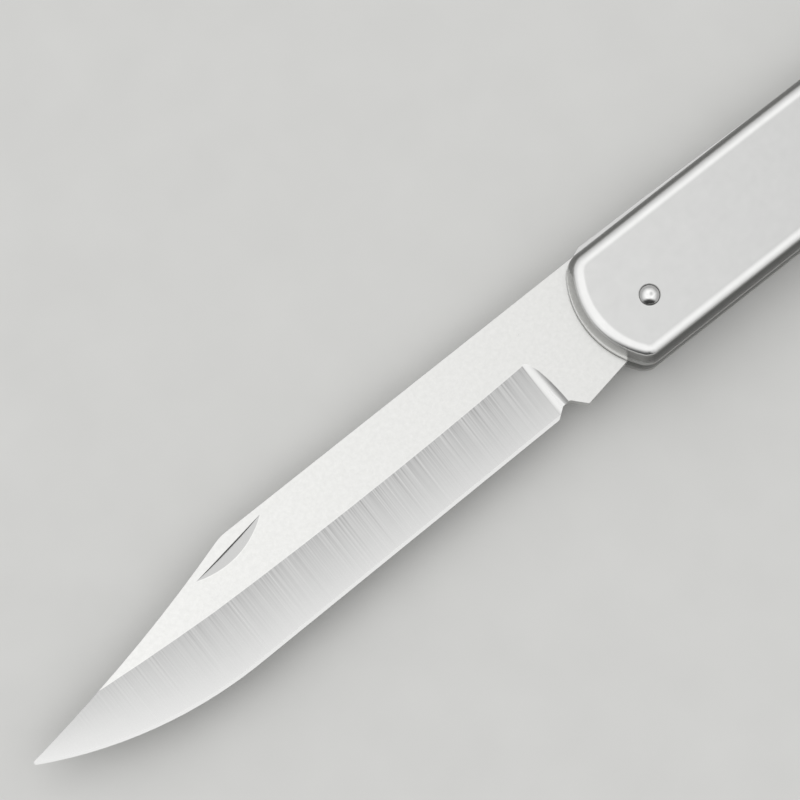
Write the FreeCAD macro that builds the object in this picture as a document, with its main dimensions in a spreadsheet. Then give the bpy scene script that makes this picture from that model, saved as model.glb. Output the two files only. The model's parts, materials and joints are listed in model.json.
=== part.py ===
"""Folding pocket knife with a slip joint, lying open on its far cover.

X runs from the tip to the tail, Y towards the back, Z up through the thickness.
The pivot axis is the Z axis, and z = 0 is the outer face of the far cover.
"""

import FreeCAD, Part
import os
import re
import Sketcher

# Driving sizes in millimetres and degrees, with what each one is.
SIZES = {
    # Stack of the handle, from the far cover to the near one.
    "cover_depth": (2.6, "depth of a pressed cover"),
    "cover_sheet": (1.0, "sheet that the covers are pressed from"),
    "liner_thickness": (0.8, "thickness of a liner"),
    "washer_thickness": (0.2, "thickness of a pivot washer"),
    "running_clearance": (0.03, "play of the blade on each washer and on its bush"),
    "seat_clearance": (0.03, "radial play of pins and tubes in their holes"),
    # Outline that covers and liners share.
    "front_reach": (8.75, "pivot to the foremost point of the handle"),
    "front_bow": (3.53, "bow of the rounded front end"),
    "back_height": (10.35, "pivot to the straight part of the back"),
    "mouth_depth": (7.15, "pivot to the mouth at the front"),
    "back_straight": (10.85, "where the back starts to curve"),
    "back_drop": (2.2, "fall of the back towards the tail"),
    "mouth_rise": (0.6, "rise of the mouth towards the tail"),
    "mouth_bow": (0.3, "outward bow of the mouth"),
    "tail_bow_share": (0.94, "bow of the rounded tail, as a share of half its height"),
    "back_corner_radius": (3.4, "rounding of the front end's corner at the back"),
    "mouth_corner_radius": (2.6, "rounding of the front end's corner at the mouth"),
    "edge_radius": (2.3, "rounded outer edge of a cover"),
    # Blade outline.
    "blade_thickness": (2.5, "thickness of the blade's stock"),
    "blade_reach": (99.65, "pivot to the tip"),
    "tip_height": (2.42, "tip above the pivot"),
    "tip_round": (0.3, "softened point of the blade"),
    "spine_height": (10.52, "spine above the pivot at the handle"),
    "spine_fall": (0.2, "fall of the spine towards the clip"),
    "clip_length": (37.0, "length of the clip along the blade"),
    "clip_hollow": (0.85, "hollow of the clip"),
    "clip_round": (6.0, "softened corner between clip and spine"),
    "belly_length": (30.5, "length of the curved belly along the blade"),
    "edge_drop": (5.66, "edge below the pivot where the belly starts"),
    "heel_reach": (18.75, "pivot to the heel of the edge"),
    "heel_drop": (5.04, "heel below the pivot"),
    "choil_far_reach": (17.3, "far side of the choil notch"),
    "choil_near_reach": (16.2, "near side of the choil notch"),
    "choil_drop": (3.95, "roof of the choil notch below the pivot"),
    "kick_reach": (14.5, "pivot to the kick"),
    "kick_drop": (5.83, "kick below the pivot"),
    "kick_round": (0.35, "softened corners of kick and choil"),
    "root_reach": (5.55, "where the underside meets the tang"),
    "root_drop": (4.3, "underside below the pivot where it meets the tang"),
    # Tang, a rounded square that cams the spring.
    "tang_flat": (5.9, "pivot to each flat of the tang"),
    "tang_corner": (4.2, "rounded corner between two flats"),
    "shoulder_reach": (3.95, "pivot to the step under the spring's nose"),
    # Bevels of the blade.
    "plunge_reach": (18.17, "pivot to the end of the bevel"),
    "plunge_radius": (2.05, "cove at the end of the bevel"),
    "plunge_sink": (0.01, "depth of the cove below the bevel"),
    "grind_hollow": (0.24, "hollow of a bevel"),
    "grind_height": (3.46, "grind line above the pivot at the plunge"),
    "grind_belly_height": (3.2, "grind line above the pivot at the belly"),
    "grind_tip_height": (5.9, "grind line above the pivot past the tip"),
    "grind_dip": (0.43, "sag of the grind line along the straight edge"),
    "grind_tip_dip": (0.3, "sag of the grind line along the belly"),
    "edge_thickness": (0.45, "thickness behind the sharpened edge"),
    "edge_width": (0.42, "width of the sharpened bevel"),
    "apex_inset": (0.02, "edge inside the blank's outline"),
    # Nail nick, cut by a coned wheel.
    "nick_height": (8.51, "middle of the nick's straight side above the pivot"),
    "nick_length": (12.3, "length of the nick's straight side"),
    "nick_width": (1.65, "width of the nick"),
    "nick_depth": (0.35, "depth of the nick at its straight side"),
    "nick_angle": (8.5, "turn of the nick from the spine, in degrees"),
    # Back spring.
    "spring_clearance": (0.05, "play between the spring and the tang's flats"),
    "spring_nose": (3.75, "pivot to the spring's front end"),
    "spring_proud": (0.65, "height of the spring above the back at its nose"),
    "spring_bow": (0.13, "outward bow of the spring's rise to its nose"),
    "nose_bevel": (1.1, "length of the bevel on the spring's nose"),
    "nose_bevel_drop": (0.4, "fall of the bevel on the spring's nose"),
    "flush_reach": (35.85, "where the spring comes level with the back"),
    "arm_reach": (17.0, "where the spring's underside starts to rise to the waist"),
    "waist_reach": (45.0, "start of the spring's waist"),
    "waist_thickness": (3.0, "height of the spring at its waist"),
    "haunch_inset": (25.5, "end of the spring's waist, in from the folded tip"),
    "hip_inset": (6.5, "turn of the underside round the folded tip, in from that tip"),
    "hip_height": (2.9, "underside above the pivot there"),
    "tip_clearance": (0.9, "room between the folded tip and the spring's tail"),
    "tail_drop": (3.0, "end of the spring's tail below the pivot"),
    # Rivet, bush, washers, collars and pins.
    "rivet_radius": (1.2, "shank of the pivot rivet"),
    "head_radius": (1.4, "head of the pivot rivet"),
    "recess_gap": (0.1, "ring round a head in its recess"),
    "recess_depth": (0.35, "recess in a cover for a head or a flange"),
    "head_rim": (0.3, "straight rim under the dome of the near head"),
    "head_dome": (0.65, "dome of the near head"),
    "flush_sink": (0.02, "far head and flanges below the cover's face"),
    "bush_radius": (2.2, "outer radius of the pivot bush"),
    "washer_radius": (5.0, "outer radius of a pivot washer"),
    "collar_wall": (0.45, "wall of the tail collars"),
    "pivot_collar_radius": (2.6, "outer radius of a pivot collar"),
    "pin_radius": (0.8, "radius of the spring's pins"),
    "spring_pin_reach": (50.0, "pivot to the spring pin"),
    "tail_pin_inset": (11.5, "tail pin in from the folded tip"),
    "pin_depth": (1.4, "axis of a spring pin below the back"),
    # Eyelet in the tail.
    "eyelet_web": (1.3, "metal of the spring between the folded tip and the eyelet"),
    "eyelet_margin": (5.8, "axis of the eyelet to the end of the tail"),
    "eyelet_bore": (1.6, "radius of the hole for the lanyard"),
    "eyelet_wall": (0.4, "wall of the eyelet"),
    "flange_radius": (2.6, "flange of the eyelet"),
    "flange_round": (0.15, "rounded lip of the eyelet"),
    # Length by which every cutter passes what it cuts.
    "overrun": (1.0, "overrun of the cutters"),
    "near_enough": (0.01, "distance within which two points count as one"),
}

SLOT = "(blade_thickness + 2 * (washer_thickness + running_clearance))"
SLOT_FLOOR = "(cover_depth + liner_thickness)"
MIDDLE = f"({SLOT_FLOOR} + {SLOT} / 2)"
SLOT_ROOF = f"({SLOT_FLOOR} + {SLOT})"
NEAR_COVER_SEAT = f"({SLOT_ROOF} + liner_thickness)"

EYELET_RADIUS = "(eyelet_bore + eyelet_wall)"
TIP_SIDE = "(blade_reach + tip_clearance)"
EYELET_REACH = f"({TIP_SIDE} + eyelet_web + {EYELET_RADIUS})"
TAIL_REACH = f"({EYELET_REACH} + eyelet_margin)"
HALF_WIDTH = "((back_height + mouth_depth) / 2)"
FRONT_CORNER = "(front_bow - front_reach)"
FRONT_RADIUS = f"(({HALF_WIDTH} ^ 2 + front_bow ^ 2) / (2 * front_bow))"
TAIL_TOP = "(back_height - back_drop)"
TAIL_BOTTOM = "(mouth_rise - mouth_depth)"
TAIL_HALF = f"(({TAIL_TOP} - {TAIL_BOTTOM}) / 2)"
TAIL_MIDDLE = f"(({TAIL_TOP} + {TAIL_BOTTOM}) / 2)"
TAIL_BOW = f"(tail_bow_share * {TAIL_HALF})"
TAIL_RADIUS = f"(({TAIL_HALF} ^ 2 + {TAIL_BOW} ^ 2) / (2 * {TAIL_BOW}))"
TAIL_CORNER = f"({TAIL_REACH} - {TAIL_BOW})"
BACK_RADIUS = f"((({TAIL_CORNER} - back_straight) ^ 2 + back_drop ^ 2) / (2 * back_drop))"

CLIP_REACH = "(blade_reach - clip_length)"
BELLY_REACH = "(blade_reach - belly_length)"
BELLY_RISE = "(tip_height + edge_drop)"
BELLY_RADIUS = f"((belly_length ^ 2 + {BELLY_RISE} ^ 2) / (2 * {BELLY_RISE}))"
HALF_STOCK = "(blade_thickness / 2)"
BEHIND_EDGE = f"({HALF_STOCK} + edge_thickness / 2)"
FAR_END = "-(blade_reach + overrun)"
BELOW_EDGE = "-(edge_drop + 3 * overrun)"
PAST_RUN = "(belly_length + overrun)"
PAST_BELLY = f"({BELLY_RADIUS} - edge_drop - sqrt({BELLY_RADIUS} ^ 2 - {PAST_RUN} ^ 2))"

SPRING_UNDERSIDE = "(tang_flat + spring_clearance)"

doc = FreeCAD.newDocument("PocketKnife")
sheet = doc.addObject("Spreadsheet::Sheet", "Sizes")
for row, (alias, (size, meaning)) in enumerate(SIZES.items(), start=1):
    sheet.set(f"A{row}", meaning)
    sheet.set(f"B{row}", str(size))
    sheet.setAlias(f"B{row}", alias)
doc.recompute()


def value(text):
    """Works a formula of sizes out to a plain number."""
    return float(sheet.evalExpression(text))


def bind(thing, name, text):
    """Ties a property to a formula of the sheet's sizes."""
    formula = re.sub(r"[a-z_]+", lambda word: f"Sizes.{word[0]}" if word[0] in SIZES else word[0], text)
    thing.setExpression(name, formula)


def bow_radius(start, end, bow):
    """Formula for the radius of an arc from its two ends and its bow."""
    chord = f"((({end[0]}) - ({start[0]})) ^ 2 + (({end[1]}) - ({start[1]})) ^ 2)"
    return f"({chord} / (8 * ({bow})) + ({bow}) / 2)"


def pin_point(sketch, item, spot, place):
    """Fixes one point of a sketch by its two formulas."""
    for kind, text in zip(("DistanceX", "DistanceY"), place):
        number = sketch.addConstraint(Sketcher.Constraint(kind, -1, 1, item, spot, value(text)))
        bind(sketch, f"Constraints[{number}]", text)


def add_circle(sketch, centre, radius):
    """Adds a circle whose centre and radius are formulas."""
    middle = FreeCAD.Vector(value(centre[0]), value(centre[1]), 0)
    circle = Part.Circle(middle, FreeCAD.Vector(0, 0, 1), value(radius))
    item = sketch.addGeometry(circle, False)
    number = sketch.addConstraint(Sketcher.Constraint("Radius", item, value(radius)))
    bind(sketch, f"Constraints[{number}]", radius)
    pin_point(sketch, item, 3, centre)


def add_outline(sketch, corners):
    """Adds a closed outline.

    A corner is (x, y) after a straight side, (x, y, "left", radius) after an arc that
    turns left on the way to it, or the same with "right".
    """
    joints = []
    for before, corner in zip(corners[-1:] + corners[:-1], corners):
        start = FreeCAD.Vector(value(before[0]), value(before[1]), 0)
        end = FreeCAD.Vector(value(corner[0]), value(corner[1]), 0)
        if len(corner) == 2:
            item = sketch.addGeometry(Part.LineSegment(start, end), False)
            joints.append((item, 1, 2))
            continue
        side, radius = corner[2:]
        size = value(radius)
        half = (end - start) / 2
        lift = max(size ** 2 - half.Length ** 2, 0) ** 0.5
        across = FreeCAD.Vector(-half.y, half.x, 0).normalize()
        centre = start + half + across * (lift if side == "left" else -lift)
        first, last = (start, end) if side == "left" else (end, start)
        circle = Part.Circle(centre, FreeCAD.Vector(0, 0, 1), size)
        item = sketch.addGeometry(
            Part.ArcOfCircle(circle, circle.parameter(first), circle.parameter(last)), False
        )
        number = sketch.addConstraint(Sketcher.Constraint("Radius", item, size))
        bind(sketch, f"Constraints[{number}]", radius)
        joints.append((item, 1, 2) if side == "left" else (item, 2, 1))
    for before, this in zip(joints[-1:] + joints[:-1], joints):
        sketch.addConstraint(Sketcher.Constraint("Coincident", before[0], before[2], this[0], this[1]))
    for corner, (item, first, last) in zip(corners, joints):
        pin_point(sketch, item, last, corner[:2])


def new_body(name, level="0"):
    """Makes a body that stands at a level of the stack."""
    body = doc.addObject("PartDesign::Body", name)
    body.Label = name
    bind(body, "Placement.Base.z", level)
    return body


def new_sketch(body, name, role="XY_Plane", height="0"):
    """Makes a sketch on one of the body's own planes, raised to a height."""
    sketch = body.newObject("Sketcher::SketchObject", name)
    plane = next(part for part in body.Origin.OriginFeatures if part.Role == role)
    sketch.AttachmentSupport = [(plane, "")]
    sketch.MapMode = "FlatFace"
    bind(sketch, "AttachmentOffset.Base.z", height)
    return sketch


def pad(body, sketch, length):
    """Pads a sketch upwards by a formula."""
    feature = body.newObject("PartDesign::Pad", f"{sketch.Name}_pad")
    feature.Profile = sketch
    bind(feature, "Length", length)
    doc.recompute()
    return feature


def pocket(body, sketch, depth):
    """Cuts a sketch downwards into the body, and checks that it took something away."""
    before = body.Shape.Volume
    feature = body.newObject("PartDesign::Pocket", f"{sketch.Name}_pocket")
    feature.Profile = sketch
    bind(feature, "Length", depth)
    doc.recompute()
    if body.Shape.Volume >= before:
        raise RuntimeError(f"{sketch.Name} cuts nothing")
    return feature


def fillet(body, base, edges, radius):
    """Rounds the listed edges of a feature."""
    feature = body.newObject("PartDesign::Fillet", f"{base.Name}_fillet")
    feature.Base = (base, edges)
    bind(feature, "Radius", radius)
    doc.recompute()
    return feature


def upright_edges(shape, places):
    """Names the upright edges of a shape that stand at the given places."""
    tolerance = value("near_enough")
    spots = [FreeCAD.Vector(value(x), value(y), 0) for x, y in places]
    names = []
    for number, edge in enumerate(shape.Edges, start=1):
        low, high = edge.Vertexes[0].Point, edge.Vertexes[-1].Point
        stands = abs(low.z - high.z) > tolerance
        ends = [FreeCAD.Vector(end.x, end.y, 0) for end in (low, high)]
        if stands and any(all((end - spot).Length < tolerance for end in ends) for spot in spots):
            names.append(f"Edge{number}")
    return names


def level_edges(shape, height):
    """Names the edges of a shape that lie at one height."""
    tolerance = value("near_enough")
    return [
        f"Edge{number}"
        for number, edge in enumerate(shape.Edges, start=1)
        if all(abs(vertex.Z - value(height)) < tolerance for vertex in edge.Vertexes)
    ]


def handle_corners():
    """Outline that covers and liners share, from the front end over the back to the tail."""
    tail_low = (TAIL_CORNER, TAIL_BOTTOM)
    front_low = (FRONT_CORNER, "-mouth_depth")
    return [
        (*front_low, "right", bow_radius(tail_low, front_low, "mouth_bow")),
        (FRONT_CORNER, "back_height", "right", FRONT_RADIUS),
        ("back_straight", "back_height"),
        (TAIL_CORNER, TAIL_TOP, "right", BACK_RADIUS),
        (*tail_low, "right", TAIL_RADIUS),
    ]


def back_at(reach):
    """Formula for the height of the curved back at a distance from the pivot."""
    return f"(back_height - {BACK_RADIUS} + sqrt({BACK_RADIUS} ^ 2 - ({reach} - back_straight) ^ 2))"


PIVOT = ("0", "0")
EYELET = (EYELET_REACH, TAIL_MIDDLE)
SPRING_PIN = ("spring_pin_reach", f"({back_at('spring_pin_reach')} - pin_depth)")
TAIL_PIN_REACH = "(blade_reach - tail_pin_inset)"
TAIL_PIN = (TAIL_PIN_REACH, f"({back_at(TAIL_PIN_REACH)} - pin_depth)")


def round_front(body, blank):
    """Rounds both corners of the front end of a padded outline."""
    low = upright_edges(blank.Shape, [(FRONT_CORNER, "-mouth_depth")])
    half_done = fillet(body, blank, low, "mouth_corner_radius")
    high = upright_edges(half_done.Shape, [(FRONT_CORNER, "back_height")])
    return fillet(body, half_done, high, "back_corner_radius")


def make_cover():
    """Near cover: a padded outline, rounded, hollowed to sheet, with two recessed holes."""
    body = new_body("near_cover", NEAR_COVER_SEAT)
    sketch = new_sketch(body, "cover_outline")
    add_outline(sketch, handle_corners())
    blank = pad(body, sketch, "cover_depth")
    corners = round_front(body, blank)
    rounded = fillet(body, corners, level_edges(corners.Shape, "cover_depth"), "edge_radius")

    shell = body.newObject("PartDesign::Thickness", "cover_shell")
    open_side = min(enumerate(rounded.Shape.Faces, start=1), key=lambda face: face[1].CenterOfMass.z)
    shell.Base = (rounded, [f"Face{open_side[0]}"])
    bind(shell, "Value", "cover_sheet")
    shell.Reversed = True
    doc.recompute()

    holes = new_sketch(body, "cover_holes", height="cover_depth")
    add_circle(holes, PIVOT, "rivet_radius + seat_clearance")
    add_circle(holes, EYELET, f"{EYELET_RADIUS} + seat_clearance")
    pocket(body, holes, "cover_sheet + overrun")
    recesses = new_sketch(body, "cover_recesses", height="cover_depth")
    add_circle(recesses, PIVOT, "head_radius + recess_gap")
    add_circle(recesses, EYELET, "flange_radius + recess_gap")
    pocket(body, recesses, "recess_depth")
    return body


def mirror(name, source, level):
    """Mirrors an object in the level plane at a height."""
    copy = doc.addObject("Part::Mirroring", name)
    copy.Label = name
    copy.Source = source
    copy.Normal = FreeCAD.Vector(0, 0, 1)
    bind(copy, "Base.z", level)
    return copy


def make_liner(name, level):
    """Flat liner with holes for the rivet, the eyelet and the spring's pins."""
    body = new_body(name, level)
    sketch = new_sketch(body, f"{name}_outline")
    add_outline(sketch, handle_corners())
    add_circle(sketch, PIVOT, "rivet_radius + seat_clearance")
    add_circle(sketch, EYELET, f"{EYELET_RADIUS} + seat_clearance")
    add_circle(sketch, SPRING_PIN, "pin_radius + seat_clearance")
    add_circle(sketch, TAIL_PIN, "pin_radius + seat_clearance")
    blank = pad(body, sketch, "liner_thickness")
    round_front(body, blank)
    return body


def make_spring():
    """Back spring: nose over the tang, thin waist, and a tail that wraps the eyelet."""
    sagitta = f"({TAIL_RADIUS} - sqrt({TAIL_RADIUS} ^ 2 - (tail_drop + {TAIL_MIDDLE}) ^ 2))"
    nose = ("nose_bevel - spring_nose", "back_height + spring_proud")
    flush = ("flush_reach", back_at("flush_reach"))
    haunch = "(blade_reach - haunch_inset)"
    body = new_body("back_spring", SLOT_FLOOR)
    sketch = new_sketch(body, "spring_outline")
    add_outline(sketch, [
        ("-spring_nose", SPRING_UNDERSIDE),
        ("-spring_nose", "back_height + spring_proud - nose_bevel_drop"),
        nose,
        (*flush, "right", bow_radius(nose, flush, "spring_bow")),
        (TAIL_CORNER, TAIL_TOP, "right", BACK_RADIUS),
        (f"{TAIL_REACH} - {sagitta}", "-tail_drop", "right", TAIL_RADIUS),
        (TIP_SIDE, "-tail_drop"),
        (TIP_SIDE, "-tip_height + 2 * tip_clearance"),
        ("blade_reach - hip_inset", "hip_height"),
        (haunch, f"{back_at(haunch)} - waist_thickness"),
        ("waist_reach", f"{back_at('waist_reach')} - waist_thickness"),
        ("arm_reach", SPRING_UNDERSIDE),
    ])
    add_circle(sketch, EYELET, f"{EYELET_RADIUS} + seat_clearance")
    add_circle(sketch, SPRING_PIN, "pin_radius + seat_clearance")
    add_circle(sketch, TAIL_PIN, "pin_radius + seat_clearance")
    pad(body, sketch, SLOT)
    return body


def make_ring(name, place, level, inner, outer, height):
    """Plain ring, such as a washer, a bush or a collar, or a solid pin where inner is None."""
    body = new_body(name, level)
    bind(body, "Placement.Base.x", place[0])
    bind(body, "Placement.Base.y", place[1])
    sketch = new_sketch(body, f"{name}_rings")
    add_circle(sketch, PIVOT, outer)
    if inner:
        add_circle(sketch, PIVOT, inner)
    pad(body, sketch, height)
    return body


def revolve(body, sketch):
    """Turns a profile about the upright axis of its body."""
    feature = body.newObject("PartDesign::Revolution", f"{sketch.Name}_turn")
    feature.Profile = sketch
    feature.ReferenceAxis = (sketch, ["V_Axis"])
    doc.recompute()
    return feature


def make_rivet():
    """Pivot rivet: a shank with a domed head on the near cover and a flush head in the far one."""
    seat = f"({MIDDLE} - recess_depth)"
    flush = f"({MIDDLE} - flush_sink)"
    rim = f"({seat} + head_rim)"
    dome = "((head_radius ^ 2 + head_dome ^ 2) / (2 * head_dome))"
    body = new_body("pivot_rivet", MIDDLE)
    sketch = new_sketch(body, "rivet_profile", "XZ_Plane")
    add_outline(sketch, [
        ("0", f"-{flush}"),
        ("head_radius", f"-{flush}"),
        ("head_radius", f"-{seat}"),
        ("rivet_radius", f"-{seat}"),
        ("rivet_radius", seat),
        ("head_radius", seat),
        ("head_radius", rim),
        ("0", f"{rim} + head_dome", "left", dome),
    ])
    revolve(body, sketch)
    return body


def make_eyelet():
    """Lanyard eyelet: a tube with a rolled flange in each cover."""
    seat = f"({MIDDLE} - recess_depth)"
    crown = f"({MIDDLE} - flush_sink)"
    lip = f"({crown} - flange_round)"
    body = new_body("lanyard_eyelet", MIDDLE)
    bind(body, "Placement.Base.x", EYELET[0])
    bind(body, "Placement.Base.y", EYELET[1])
    sketch = new_sketch(body, "eyelet_profile", "XZ_Plane")
    add_outline(sketch, [
        ("eyelet_bore", f"-{lip}"),
        ("eyelet_bore + flange_round", f"-{crown}", "left", "flange_round"),
        ("flange_radius - flange_round", f"-{crown}"),
        ("flange_radius", f"-{lip}", "left", "flange_round"),
        ("flange_radius", f"-{seat}"),
        (EYELET_RADIUS, f"-{seat}"),
        (EYELET_RADIUS, seat),
        ("flange_radius", seat),
        ("flange_radius", lip),
        ("flange_radius - flange_round", crown, "left", "flange_round"),
        ("eyelet_bore + flange_round", crown),
        ("eyelet_bore", lip, "left", "flange_round"),
    ])
    revolve(body, sketch)
    return body


def make_blank():
    """Blade blank: the whole outline at full thickness, with the hole for the bush."""
    tip = ("-blade_reach", "tip_height")
    clip = (f"-{CLIP_REACH}", "spine_height - spine_fall")
    flat_end = "(tang_flat - tang_corner)"
    body = new_body("blade_blank")
    sketch = new_sketch(body, "blade_outline")
    add_outline(sketch, [
        (*tip, "right", BELLY_RADIUS),
        (*clip, "left", bow_radius(tip, clip, "clip_hollow")),
        ("-shoulder_reach", "spine_height"),
        ("-shoulder_reach", "tang_flat"),
        (flat_end, "tang_flat"),
        ("tang_flat", flat_end, "right", "tang_corner"),
        ("tang_flat", f"-{flat_end}"),
        (flat_end, "-tang_flat", "right", "tang_corner"),
        (f"-{flat_end}", "-tang_flat"),
        ("-root_reach", "-root_drop"),
        ("-kick_reach", "-kick_drop"),
        ("-choil_near_reach", "-choil_drop"),
        ("-choil_far_reach", "-choil_drop"),
        ("-heel_reach", "-heel_drop"),
        (f"-{BELLY_REACH}", "-edge_drop"),
    ])
    add_circle(sketch, PIVOT, "bush_radius + running_clearance")
    blank = pad(body, sketch, "blade_thickness")
    pointed = fillet(body, blank, upright_edges(blank.Shape, [clip]), "clip_round")
    softened = fillet(body, pointed, upright_edges(pointed.Shape, [tip]), "tip_round")
    small_corners = [
        ("-kick_reach", "-kick_drop"),
        ("-choil_near_reach", "-choil_drop"),
        ("-choil_far_reach", "-choil_drop"),
        ("-root_reach", "-root_drop"),
    ]
    fillet(body, softened, upright_edges(softened.Shape, small_corners), "kick_round")
    return body


def lofted_cutter(name, sections):
    """Cutter through two or more outlines, each given as its height and its corners."""
    body = new_body(name)
    sketches = []
    for number, (height, corners) in enumerate(sections, start=1):
        sketch = new_sketch(body, f"{name}_section_{number}", height=height)
        add_outline(sketch, corners)
        sketches.append(sketch)
    loft = body.newObject("PartDesign::AdditiveLoft", f"{name}_loft")
    loft.Profile = sketches[0]
    loft.Sections = sketches[1:]
    loft.Ruled = len(sections) == 2
    doc.recompute()
    return body


def halfway(low, high):
    """Formula for the middle between two formulas."""
    return f"((({low}) + ({high})) / 2)"


def make_bevel_cutter():
    """Cutter for one hollow bevel, through outlines behind the edge, halfway up and at the grind line."""
    heel = ("-plunge_reach", "-heel_drop")
    belly = (f"-{BELLY_REACH}", "-edge_drop")
    plunge = ("-plunge_reach", "grind_height")
    turn = (f"-{BELLY_REACH}", "grind_belly_height")
    past_tip = (FAR_END, "grind_tip_height")
    mid_plunge, mid_belly, mid_tip = (
        (low[0], halfway(low[1], high[1]))
        for low, high in ((heel, plunge), (belly, turn), ((FAR_END, PAST_BELLY), past_tip))
    )
    chord = f"({PAST_RUN} ^ 2 + ({PAST_BELLY} + edge_drop) ^ 2)"
    belly_bow = f"({BELLY_RADIUS} - sqrt({BELLY_RADIUS} ^ 2 - {chord} / 4))"
    mid_bow = halfway(belly_bow, "grind_tip_dip")
    mid_height = f"{halfway(BEHIND_EDGE, 'blade_thickness')} - grind_hollow"
    lower = ("-plunge_reach", BELOW_EDGE), (FAR_END, BELOW_EDGE)
    return lofted_cutter("bevel_cutter", [
        (BEHIND_EDGE, [
            lower[0],
            heel,
            belly,
            (FAR_END, PAST_BELLY, "right", BELLY_RADIUS),
            lower[1],
        ]),
        (mid_height, [
            lower[0],
            mid_plunge,
            (*mid_belly, "right", bow_radius(mid_plunge, mid_belly, "grind_dip / 2")),
            (*mid_tip, "right", bow_radius(mid_belly, mid_tip, mid_bow)),
            lower[1],
        ]),
        ("blade_thickness", [
            lower[0],
            plunge,
            (*turn, "right", bow_radius(plunge, turn, "grind_dip")),
            (*past_tip, "right", bow_radius(turn, past_tip, "grind_tip_dip")),
            lower[1],
        ]),
    ])


def make_cove():
    """Ring that leaves the cove at the end of a bevel and follows the bevel's hollow."""
    low, high = ("-heel_drop", BEHIND_EDGE), ("grind_height", "blade_thickness")
    slope = f"atan((blade_thickness - {BEHIND_EDGE}) / (grind_height + heel_drop))"
    bow = f"(grind_hollow * cos({slope}))"
    hollow = bow_radius(low, high, bow)
    lift = f"({hollow} - {bow})"
    cove = doc.addObject("Part::Torus", "plunge_cove")
    bind(cove, "Radius1", f"{hollow} - plunge_radius + plunge_sink")
    bind(cove, "Radius2", "plunge_radius")
    cove.Placement.Rotation = FreeCAD.Rotation(FreeCAD.Vector(0, 1, 0), 90)
    bind(cove, "Placement.Base.x", "-plunge_reach")
    bind(cove, "Placement.Base.y", f"{halfway(low[0], high[0])} - sin({slope}) * {lift}")
    bind(cove, "Placement.Base.z", f"{halfway(low[1], high[1])} + cos({slope}) * {lift}")
    return cove


def make_edge_cutter():
    """Cutter for one side of the sharpened edge, from past the heel to past the tip."""
    fall = f"((edge_drop - heel_drop) / ({BELLY_REACH} - heel_reach))"
    past_heel = f"(heel_reach - choil_far_reach) * {fall} - heel_drop"

    def section(steps):
        """Outline of the cutter, a number of bevel widths above the edge."""
        shift = f"({steps} * edge_width + apex_inset)"
        return (f"{HALF_STOCK} + {steps} * edge_thickness / 2", [
            ("-choil_far_reach", BELOW_EDGE),
            ("-choil_far_reach", f"{past_heel} + {shift}"),
            (f"-{BELLY_REACH}", f"-edge_drop + {shift}"),
            (FAR_END, f"{PAST_BELLY} + {shift}", "right", BELLY_RADIUS),
            (FAR_END, BELOW_EDGE),
        ])

    return lofted_cutter("edge_cutter", [section("-1"), section("3")])


def make_nick_wheel():
    """Coned wheel that cuts the nail nick, with its flat side towards the spine."""
    wheel = "((nick_length ^ 2 / 4 + nick_depth ^ 2) / (2 * nick_depth))"
    nick = doc.addObject("Part::Cone", "nick_wheel")
    bind(nick, "Radius1", wheel)
    bind(nick, "Radius2", f"{wheel} - 2 * nick_depth")
    bind(nick, "Height", "2 * nick_width")
    nick.Placement.Rotation = FreeCAD.Rotation(value("nick_angle"), 0, 90)
    bind(nick, "Placement.Base.x", f"-{CLIP_REACH}")
    bind(nick, "Placement.Base.y", "nick_height")
    bind(nick, "Placement.Base.z", f"blade_thickness + {wheel} - nick_depth")
    return nick


def make_blade():
    """Blade: the blank less its hollow bevels, coves, sharpened edge and nail nick."""
    cutters = [make_nick_wheel()]
    for cutter in (make_bevel_cutter(), make_cove(), make_edge_cutter()):
        cutters += [cutter, mirror(f"far_{cutter.Name}", cutter, HALF_STOCK)]
    blade = make_blank()
    for number, cutter in enumerate(cutters, start=1):
        cut = doc.addObject("Part::Cut", f"blade_cut_{number}")
        cut.Base = blade
        cut.Tool = cutter
        blade = cut
        doc.recompute()
    blade.Label = "blade"
    bind(blade, "Placement.Base.z", f"{MIDDLE} - {HALF_STOCK}")
    return blade


near_cover = make_cover()
rivet_hole = "rivet_radius + seat_clearance"
tube_hole = f"{EYELET_RADIUS} + seat_clearance"
collar_height = "cover_depth - cover_sheet"
tail_collar = f"{EYELET_RADIUS} + seat_clearance + collar_wall"
pin_length = f"2 * liner_thickness + {SLOT}"
near_washer_level = f"{SLOT_ROOF} - washer_thickness"
PIECES = [
    make_blade(),
    make_spring(),
    make_liner("far_liner", "cover_depth"),
    make_liner("near_liner", SLOT_ROOF),
    near_cover,
    mirror("far_cover", near_cover, MIDDLE),
    make_rivet(),
    make_eyelet(),
    make_ring("pivot_bush", PIVOT, SLOT_FLOOR, rivet_hole, "bush_radius", SLOT),
]
for side, washer, collar in (
    ("far", SLOT_FLOOR, "cover_sheet"),
    ("near", near_washer_level, NEAR_COVER_SEAT),
):
    bore = "bush_radius + seat_clearance"
    PIECES += [
        make_ring(f"{side}_pivot_washer", PIVOT, washer, bore, "washer_radius", "washer_thickness"),
        make_ring(f"{side}_pivot_collar", PIVOT, collar, rivet_hole, "pivot_collar_radius", collar_height),
        make_ring(f"{side}_tail_collar", EYELET, collar, tube_hole, tail_collar, collar_height),
    ]
PIECES += [
    make_ring("spring_pin", SPRING_PIN, "cover_depth", None, "pin_radius", pin_length),
    make_ring("tail_pin", TAIL_PIN, "cover_depth", None, "pin_radius", pin_length),
]

doc.recompute()
for thing in doc.Objects:
    if "Invalid" in thing.State or "Error" in thing.State:
        raise RuntimeError(f"{thing.Label} did not build: {thing.State}")
for piece in PIECES:
    if piece.Shape.isNull() or not piece.Shape.isValid():
        raise RuntimeError(f"{piece.Label} has no valid shape")

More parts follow.
